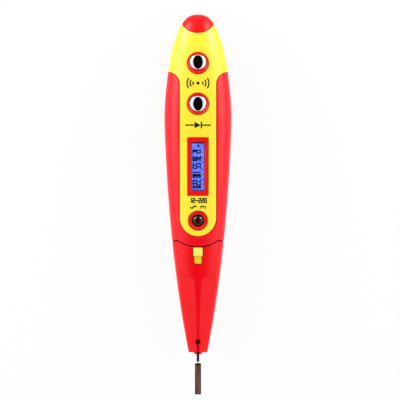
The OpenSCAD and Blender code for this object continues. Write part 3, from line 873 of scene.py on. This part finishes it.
add_object("front_shell_skin", [front_shell()], yellow, "housing", "yellow_plastic", "front_shell")
add_object("front_grip_skin", [front_grip()], red_soft, "housing", "red_soft", "front_grip")
add_object("tail_cap_skin", [tail_cap()], red_cap, "housing", "red_plastic", "tail_cap")
add_object("rear_shell_skin", [rear_shell()] + [screw_cup(d) for d in SCREW_PLACES], red, "housing", "red_plastic",
           "rear_shell")
for which, d in zip(("upper", "lower"), PAD_PLACES):
    add_object(f"pad_ring_{which}_dish", [dished_ring(d, RING_R, 3.1)], red_ring, "housing", "red_plastic",
               f"pad_ring_{which}")
add_object("led_ring_dish", [dished_ring(LED_AT, LED_RING_R, 2.25)], red_ring, "housing", "red_plastic", "led_ring")
add_object("joint_line_shade_lip", [joint_shade_lip(oval_point), joint_shade_lip(back_point)], red_painted_shade, "housing", "red_plastic")
for which, d in zip(("upper", "lower"), PAD_PLACES):
    add_object(f"touch_pad_{which}_dome", [touch_pad(d)], chrome, f"{which}_pad", "chrome_pad", f"touch_pad_{which}")


# ---- display
bezel_edges = [densify(display_box(BEZEL_HALF - EDGE_GAP, 0.3)), densify(display_box(WINDOW_HALF, 0.25))]
bezel = sheet(front_face(0.1), bezel_edges, 2.1, 0.22, 0.4)
lens = sheet(front_face(-0.35), [densify(display_box(WINDOW_HALF - EDGE_GAP, 0.22))], 0.9, 0.1, 0.5)
panel = prism(display_box((3.75, 10.05), 0.2), LCD_TOP - 1.4, LCD_TOP, 0.08, plan_place())
add_object("display_frame", [bezel], red_ring, "housing", "red_plastic", "display_bezel")
add_object("display_window", [lens], clear_window(), "housing", "clear_window", "display_lens")
add_object("display_panel", [panel], display_blue(), "housing", "display_blue", "lcd_glass")

# the bars of each sign, and the ends (x, y, x, y) of each bar in widths and half heights
SEGMENTS = {"0": "abcdef", "1": "bc", "2": "abged", "3": "abgcd", "5": "afgcd", "6": "afgedc", "-": "g"}
BAR_ENDS = {"a": (0, 2, 1, 2), "b": (1, 1, 1, 2), "c": (1, 0, 1, 1), "d": (0, 0, 1, 0), "e": (0, 0, 0, 1),
            "f": (0, 1, 0, 2), "g": (0, 1, 1, 1)}


def digit(char, start, across, up, size, bar):
    """Outlines of a digit's bars. start is its foot, across its reading direction and up its height, in (x, d)."""
    grow = bar / 2
    out = []
    for key in SEGMENTS[char]:
        ends = np.array(BAR_ENDS[key]) * [size[0], size[1] / 2, size[0], size[1] / 2]
        u0, v0, u1, v1 = ends + [-grow, -grow, grow, grow]
        corners = np.array([(u0, v0), (u1, v0), (u1, v1), (u0, v1)]) @ [across, up] + start
        out.append(rounded(corners, bar * 0.2, pieces=2))
    return out


def stroke(points, width):
    """The outline of a line of a width along the points."""
    points = np.asarray(points, float)
    step = np.gradient(points, axis=0)
    side = unit(columns(-step[:, 1], step[:, 0])) * width / 2
    return np.concatenate([points + side, (points - side)[::-1]])


def lcd_marks():
    """A plain scale of numbers down the display, with a pointer and ticks, and dark bars along the window's edges
    that are painted shade.
    """
    outlines = []
    places = (49.8, 50.8, 52.5, 53.6, 55.3, 56.4, 57.9, 58.7, 59.7, 61.4, 62.5, 63.6)
    for d, char in zip(places, "123655110220"):
        outlines += digit(char, (-1.75, d - 0.28), (0, 1), (1, 0), (0.56, 2.6), 0.45)
    outlines.append(np.array([(-0.6, 48.5), (0.5, 47.9), (0.5, 49.1)]))
    for d, length in ((50.6, 0.5), (52.5, 1.0), (54.4, 0.5), (56.9, 1.0), (58.8, 0.5), (60.6, 1.0), (62.6, 0.5)):
        outlines.append(box_outline(length / 2, d, d + 0.3, 0.05) + [2.0 - length / 2, 0])
    # dark bars round the window's edges: painted shade, where the bezel's rim shades the panel
    outlines += [box_outline(2.85, d, d + 0.7, 0.02) for d in (46.9, 64.6)]
    outlines += [box_outline(0.3, 47.3, 64.9, 0.02) + [side * 2.5, 0] for side in (-1, 1)]
    return [prism(o, LCD_TOP + 0.01, LCD_TOP + 0.06, 0.012, plan_place(), pieces=1) for o in outlines]


add_object("display_digits", lcd_marks(), lcd_ink_and_shade, "housing", "display_blue")


def printed_marks():
    """Plain signs on the yellow strip: field waves, a diode, and a range over AC and DC signs."""
    lines = []
    for side, middle in ((1, 0), (-1, 180)):
        for r in (1.0, 2.1, 3.2):
            lines.append(stroke(arc((side * 0.8, 25.5), r, middle - 36, middle + 36, 0.15), 0.5))
    lines.append(disc_outline(25.5, 0.6))
    d = 40.9
    for side in (-1, 1):
        lines.append(stroke([(side * 4.7, d), (side * 3.0, d), (side * 1.3, d)], 0.5))
    lines.append(np.array([(-1.25, d - 1.2), (0.95, d), (-1.25, d + 1.2)]))
    lines.append(box_outline(0.26, d - 1.2, d + 1.2, 0.06) + [1.25, 0])
    x = -2.95
    for char in "12-220":
        lines += digit(char, (x, 69.2), (1, 0), (0, -1), (0.62, 1.4), 0.42)
        x += 1.08
    t = np.linspace(-1, 1, 25)
    lines.append(stroke(columns(-1.7 + t * 1.1, 70.95 - 0.4 * np.sin(t * math.pi)), 0.48))
    lines.append(stroke([(0.7, 70.65), (1.8, 70.65), (2.9, 70.65)], 0.4))
    lines += [box_outline(0.3, 71.1, 71.4, 0.05) + [x, 0] for x in (1.0, 1.8, 2.6)]
    return [sheet(front_face(0.025), [densify(o, 0.2)], 0.06, 0.015, 0.4) for o in lines]


add_object("strip_marks", printed_marks(), ink, "housing", "black_resin")


# ---- lamp
def lamp_dome():
    """The lamp: a flange under the face and a dome that rises out of its ring."""
    shoulder, rise = float(crest_at(LED_AT)) - 0.9, 1.1
    foot = [(0, 3.25), (2.5, 3.25), (2.5, 4.05), (LED_R, 4.05), (LED_R, shoulder)]
    return lathe(foot + dome_profile(LED_R, rise, shoulder + rise, 0.04, 20), plan_place(LED_AT), limit=30)


add_object("indicator_lamp", [lamp_dome()], lamp, "housing", "lamp_red", "indicator_led")


# ---- nose
def nose_start(angle):
    """Distance at which the nose starts, at an angle round the oval."""
    r, flat = BULGE_R + JOINT_GAP, JOINT_AT + JOINT_GAP
    d = np.full(len(angle), flat)
    for _ in range(6):
        x = half_at(d) * np.sin(angle)
        d = np.maximum(flat, BULGE_CENTRE + np.sqrt(np.maximum(r ** 2 - x ** 2, 0)))
    return d


def nose_cover():
    """The nose's skin, welded along its back, and the red floor under its slot."""
    top_angle = np.concatenate([np.linspace(-math.pi, -0.02, 150), np.linspace(0.02, math.pi, 150)])
    top_d = nose_start(top_angle)
    x = half_at(top_d) * np.sin(top_angle)
    keep = (np.abs(top_angle) >= math.pi / 2) | (np.abs(x) >= NOTCH_HALF + 0.2)
    top = unroll(top_angle, top_d)
    left_top, right_top = top[keep & (top_angle < 0)], top[keep & (top_angle > 0)]
    joint_front = BULGE + JOINT_AT + JOINT_GAP - 0.18
    half = [(-NOTCH_HALF - 0.6, joint_front), (-NOTCH_HALF, joint_front), (-NOTCH_HALF, NOTCH_STEP),
            (-NOTCH_LOW_HALF, NOTCH_STEP), (-NOTCH_LOW_HALF, NOTCH_END)]
    radii = [0, 0.2, 0.12, 0.12, 0.3]
    notch = plan_run(rounded(half + [(-x, d) for x, d in half[::-1]], radii + radii[::-1])[1:-1])
    reach = math.sqrt(KEYHOLE_R ** 2 - SLOT_HALF ** 2)
    start = math.degrees(math.asin(reach / KEYHOLE_R))
    slot_right = densify([(SLOT_HALF, NOSE_END), (SLOT_HALF, KEYHOLE_AT + reach)], 0.25, closed=False)
    keyhole = arc((0, KEYHOLE_AT), KEYHOLE_R, start, -180 - start, 0.16)
    slot = np.concatenate([slot_right[:-1], keyhole, slot_right[::-1][1:] * MIRROR])
    slot = unroll_plan(densify(slot, 0.2, closed=False))
    end_angle = np.linspace(math.pi, math.asin(SLOT_HALF / NOSE_END_HALF) + 0.04, 60)
    end_right = unroll(end_angle, np.full(60, NOSE_END))
    seam_d = np.linspace(float(top_d[-1]), NOSE_END, 150)
    seam_right = unroll(np.full(150, math.pi), seam_d)[1:-1]
    outer = np.concatenate([left_top, notch, right_top, seam_right, end_right, slot, (end_right * MIRROR)[::-1],
                            (seam_right * MIRROR)[::-1]])
    flags = np.zeros(len(outer), bool)
    first = len(left_top) + len(notch) + len(right_top)
    flags[first - 1:first + len(seam_right)] = True
    flags[len(outer) - len(seam_right) - 1:] = True
    lip = [unroll_plan(arc((0, FACET_AT - FACET_ARC_R), FACET_ARC_R + off, 35, 145, 0.3))
           for off in (-0.16, -0.06, 0.05, 0.16, 0.28)]
    def wall(uv):
        near = np.hypot(uv[:, 0], np.minimum(uv[:, 1] - KEYHOLE_AT, 0))
        return 0.22 + (NOSE_WALL - 0.32) * smooth_step(near, 1.3, 2.4)
    floor = sheet(front_face(-0.75), [box_loop(0.75, KEYHOLE_AT + 0.9, NOSE_END - 0.05, 0.05, 0.2)], 0.4, 0.04, 0.3)
    return [sheet(nose_point, [outer], wall, 0.14, 0.5, welds=flags, extra=np.concatenate(lip)), floor]


def tip_core():
    """The closed end of the nose: a cradle for the probe and the keyhole's floor, then an end plate and a collar."""
    bore = 0.56
    rings = []
    for d in np.linspace(115.9, 123.8, 12):
        x, z = np.concatenate([oval(np.linspace(0, -math.pi, 41), half_at(d) - 1.2, crest_at(d) - 1.2),
                               oval(np.linspace(-math.pi, 0, 13), bore, bore)]).T
        rings.append(columns(x, np.full(len(x), -d), z))
    cradle = finished(*rings_mesh(rings))
    # a sheet under the keyhole, coloured dark red as painted shade in the hole
    floor = sheet(front_face(-1.15), [densify(disc_outline(KEYHOLE_AT, 1.35), 0.2)], 0.3, 0.04, 0.3)

    def slotted(half, depth, d0, d1, edge):
        a = math.asin(SLOT_HALF / half)
        outline = np.concatenate([
            oval(np.linspace(math.pi / 2 - a, -3 * math.pi / 2 + a, 81), half, depth),
            [(-SLOT_HALF, 0.12)],
            oval(np.linspace(-3 * math.pi / 2 + 1.4, math.pi / 2 - 1.4, 25), bore, bore),
            [(SLOT_HALF, 0.12)],
        ])
        return prism(outline, d0, d1, edge, axis_place(0))
    plate = slotted(NOSE_END_HALF - 0.25, NOSE_END_HALF * FLATNESS - 0.25, 123.4, NOSE_END - 0.02, 0.06)
    collar = slotted(1.5, 1.5, 124.0, 125.1, 0.12)
    return [cradle, floor], [plate, collar]


cradle, tip_end = tip_core()
add_object("nose_cover_skin", nose_cover() + tip_end, red, "nose", "red_plastic", "nose_cover")
# the cradle and the keyhole's floor are dark red: painted shade inside the nose's tip
add_object("nose_tip_cradle", cradle, red_painted_shade, "nose", "red_plastic")


def latch():
    """The yellow tongue, with its raised block and the lower step."""
    def on_front(p):
        return front_face(p[:, 2])(p)
    block = sheet(front_face(), [box_loop(1.75, 85.8, 88.95, 0.22)], 1.35, 0.18, 0.35)
    step = sheet(front_face(-0.5), [box_loop(1.45, 88.7, 91.8, 0.22)], 0.9, 0.18, 0.35)
    ribs = [prism(box_outline(1.15, d, d + 0.22, 0.05), -0.06, 0.04, 0.03, on_front, pieces=2)
            for d in (86.7, 87.25, 87.8)]
    tongue = prism(box_outline(1.5, 81.3, 91.6, 0.3), 4.65, 5.15, 0.1, plan_place())
    return [block, tongue] + ribs, [step]


block_parts, step_parts = latch()
# the block's paler yellow is painted light, the step's deeper yellow is painted shade
add_object("latch_tongue_block", block_parts, yellow_painted_light, "latch", "yellow_plastic", "latch_tongue")
add_object("latch_tongue_step", step_parts, yellow_painted_shade, "latch", "yellow_plastic", "latch_tongue")


# ---- probe
def probe():
    """The flat blade, thinner towards its tip, and the round shank behind it."""
    outline = densify(box_outline(BLADE_HALF, BLADE_FROM, OVERALL, 0.24, pieces=4), 0.5)
    def bevelled(p):
        share = smooth_step(p[:, 1], OVERALL - 5.2, OVERALL)
        return columns(p[:, 0], -p[:, 1], p[:, 2] * (1 - 0.42 * share))
    blade = prism(outline, -0.45, 0.45, 0.09, bevelled)
    shank = lathe([(0, 0), (1.5, 0), (1.5, 0.7), (0.35, 0.75), (0.35, 13.6), (0, 13.6)], axis_place(115.0), 32)
    return blade, shank


blade, shank = probe()
add_object("probe_blade_steel", [blade], blade_steel, "nose", "blade_steel", "probe_blade")
add_object("probe_shank_steel", [shank], bright_steel, "nose", "blade_steel", "probe_blade")
sleeve_profile = [(0.5, 0), (0.5, 11.95), (0.46, 12.02), (0.4, 12.05), (0.4, 0)]
add_object("probe_sleeve_tube", [lathe(sleeve_profile, axis_place(115.85), 32, joined=True)], black, "nose",
           "black_sleeve", "probe_sleeve")


# ---- cells, springs and screws
def cell(d):
    profile = [(0, 0), (3.7, 0), (3.87, 0.06), (3.95, 0.2), (3.95, 2.75), (3.9, 2.95), (3.75, 3.05), (3.45, 3.08),
               (3.3, 3.1), (3.25, 3.0), (3.1, 2.98), (3.0, 3.08), (2.8, 3.4), (2.65, 3.5), (0, 3.52)]
    return lathe(profile, axis_place(d), 64, limit=35)


add_object("button_cell_stack", [cell(85.8 + 3.6 * i) for i in range(3)], bright_steel, "housing", "bright_steel",
           "button_cells")


def coil(low, high, radius, wire, turns, place):
    """A coil spring between two heights, with flat end turns."""
    steps = int(turns * 28)
    t = np.linspace(0, 1, steps + 1)
    travel = np.clip((t * turns - 1) / (turns - 2), 0, 1)
    centre = low + wire + (high - low - 2 * wire) * travel
    angle = t * turns * 2 * math.pi
    ring_angle = round_angles(10)
    rings = []
    for a, c in zip(angle, centre):
        out = np.array([math.cos(a), math.sin(a), 0])
        middle = out * radius + [0, 0, c]
        rings.append([middle + (out * math.cos(b) + np.array([0, 0, 1]) * math.sin(b)) * wire for b in ring_angle])
    verts, polys = rings_mesh(rings)
    return finished(place(verts), polys)


add_object("probe_spring_coil", [coil(102.95, 114.95, 1.0, 0.16, 14, axis_place(0))], bright_steel, "housing",
           "bright_steel", "probe_spring")


def pad_spring(which):
    """The coil under a touch pad, in the box of its CAD solid."""
    low, high = (np.array(corner) * 1000 - [0, OVERALL / 2, BACK_DEPTH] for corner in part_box(f"pad_spring_{which}"))
    middle, wire = (low + high) / 2, 0.18
    def place(p):
        return p + [middle[0], middle[1], 0]
    turns = coil(low[2], high[2], (high[0] - low[0]) / 2 - wire, wire, 6, place)
    piece = add_object(f"pad_spring_{which}_coil", [turns], bright_steel, "housing", "bright_steel",
                       f"pad_spring_{which}")
    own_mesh(piece)


pad_spring("upper")
pad_spring("lower")


def screw(d):
    """A pan head with a cross recess, seen from the back."""
    def at_back(p):
        return columns(p[:, 0], -p[:, 1] - d, -BACK_DEPTH + 0.3 + p[:, 2])
    def dome(uv):
        return at_back(columns(*uv.T, 0.05 * (uv ** 2).sum(1)))
    arm, w = 1.0, 0.25
    quarters = [np.array([(-w, -arm), (w, -arm), (w, -w)])]
    for _ in range(3):
        quarters.append(quarters[-1][:, ::-1] * MIRROR)
    cross = densify(rounded(np.concatenate(quarters), 0.08, pieces=2), 0.15)
    rim = densify(arc((0, 0), 1.8, 0, 360, 0.2)[:-1], 0.2)
    head = sheet(dome, [rim, cross], 0.6, 0.12, 0.3)
    body = lathe([(0, 0.7), (1.75, 0.7), (1.75, 1.2), (1.0, 1.2), (1.0, 11.8), (0.7, 12.4), (0, 12.5)], at_back, 48)
    return [head, body]


add_object("case_screw_heads", [part for d in SCREW_PLACES for part in screw(d)], bright_steel, "housing",
           "bright_steel", "case_screws")


# ---- CAD nodes that stay, with better materials
kept = {
    "display_diffuser": milky, "zebra_strips": rubber, "circuit_board": board_green(), "driver_chip": resin,
    "surface_parts": resin, "battery_holder": yellow_inner, "cell_contact_plus": brass, "cell_contact_minus": brass,
    "sense_strip": brass,
}
for node_name, material in kept.items():
    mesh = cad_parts[node_name].data
    mesh.materials.clear()
    mesh.materials.append(material)


# ---- stage, light and camera
def stage_piece(name, verts, material):
    obj = new_object(name, verts, [tuple(range(len(verts)))], material)
    return obj


def floor_material(glow_share=0.9):
    """White floor: it takes shadows, and mostly glows plain white to the camera, in reflections and through glass."""
    m = Nodes("studio_floor")
    m.set(Base_Color=(0.9, 0.9, 0.9, 1), Roughness=0.9, Specular_IOR_Level=0.0)
    rays = m.add("LightPath").outputs
    seen = rays["Is Camera Ray"]
    for ray in ("Is Glossy Ray", "Is Transmission Ray"):
        seen = m.math("MAXIMUM", seen, rays[ray])
    glow = m.add("Emission", {"Strength": 1.0}).outputs[0]
    mix = m.add("MixShader", {"Fac": m.math("MULTIPLY", seen, glow_share), 1: m.shader.outputs["BSDF"], 2: glow})
    m.fill(m.out, {"Surface": mix.outputs[0]})
    return m.material


FLOOR_HALF, FLOOR_Z = 3.0, -0.0002
floor_corners = [(x * FLOOR_HALF, y * FLOOR_HALF, FLOOR_Z) for x, y in ((-1, -1), (1, -1), (1, 1), (-1, 1))]
stage_piece("studio_floor", floor_corners, floor_material())

# a dark ceiling over a white light tent, which the camera sees through
card = Nodes("dark_card")
card.set(Base_Color=(0.004, 0.004, 0.004, 1), Roughness=1.0, Specular_IOR_Level=0.0)
card_rim = [(0.92 * math.cos(a), 1.65 * math.sin(a) - 0.15, 1.25) for a in round_angles(64)]
stage_piece("dark_card", card_rim, card.material).visible_camera = False

world = bpy.data.worlds.new("studio")
studio.world = world
world.use_nodes = True
world.cycles.sampling_method = "NONE"
sky = world.node_tree.nodes["Background"]
sky.inputs["Color"].default_value = (1, 1, 1, 1)
sky.inputs["Strength"].default_value = 1.0


def area_light(name, place, target, size, power, glossy, diffuse=True):
    """A light box out of the camera's view, that shows in reflections or lights surfaces, or both."""
    light = bpy.data.lights.new(name, "AREA")
    light.shape = "RECTANGLE"
    light.size, light.size_y = size
    light.energy = power
    obj = linked(name, light)
    obj.location = place
    obj.rotation_euler = (Vector(target) - Vector(place)).to_track_quat("-Z", "Y").to_euler()
    obj.visible_glossy = glossy
    obj.visible_diffuse = diffuse
    obj.visible_camera = False


area_light("overhead", (0.05, 0.15, 1.15), (0, 0, 0), (0.3, 0.3), 3.9, False)
for word, side, power in (("left", -1, 1.2), ("right", 1, 1.05)):
    area_light(word + "_box", (side * 0.42, 0.2, 0.16), (0, 0.03, 0.01), (0.45, 0.11), power, True)
    area_light(word + "_gloss_card", (side * 0.4, 0.4, 0.24), (0, 0.0, 0.01), (0.24, 0.3), 3.2, True, False)

VIEW_WIDTH = 0.1474  # of the photo, in metres at the parting plane
camera = bpy.data.cameras.new("photo_camera")
camera.sensor_width = 36
camera.lens = 350
height = VIEW_WIDTH * camera.lens / camera.sensor_width
studio.camera = linked("photo_camera", camera)
studio.camera.location = (0.00074, 0.00166, 0.007 + height)
studio.view_settings.view_transform = "Standard"
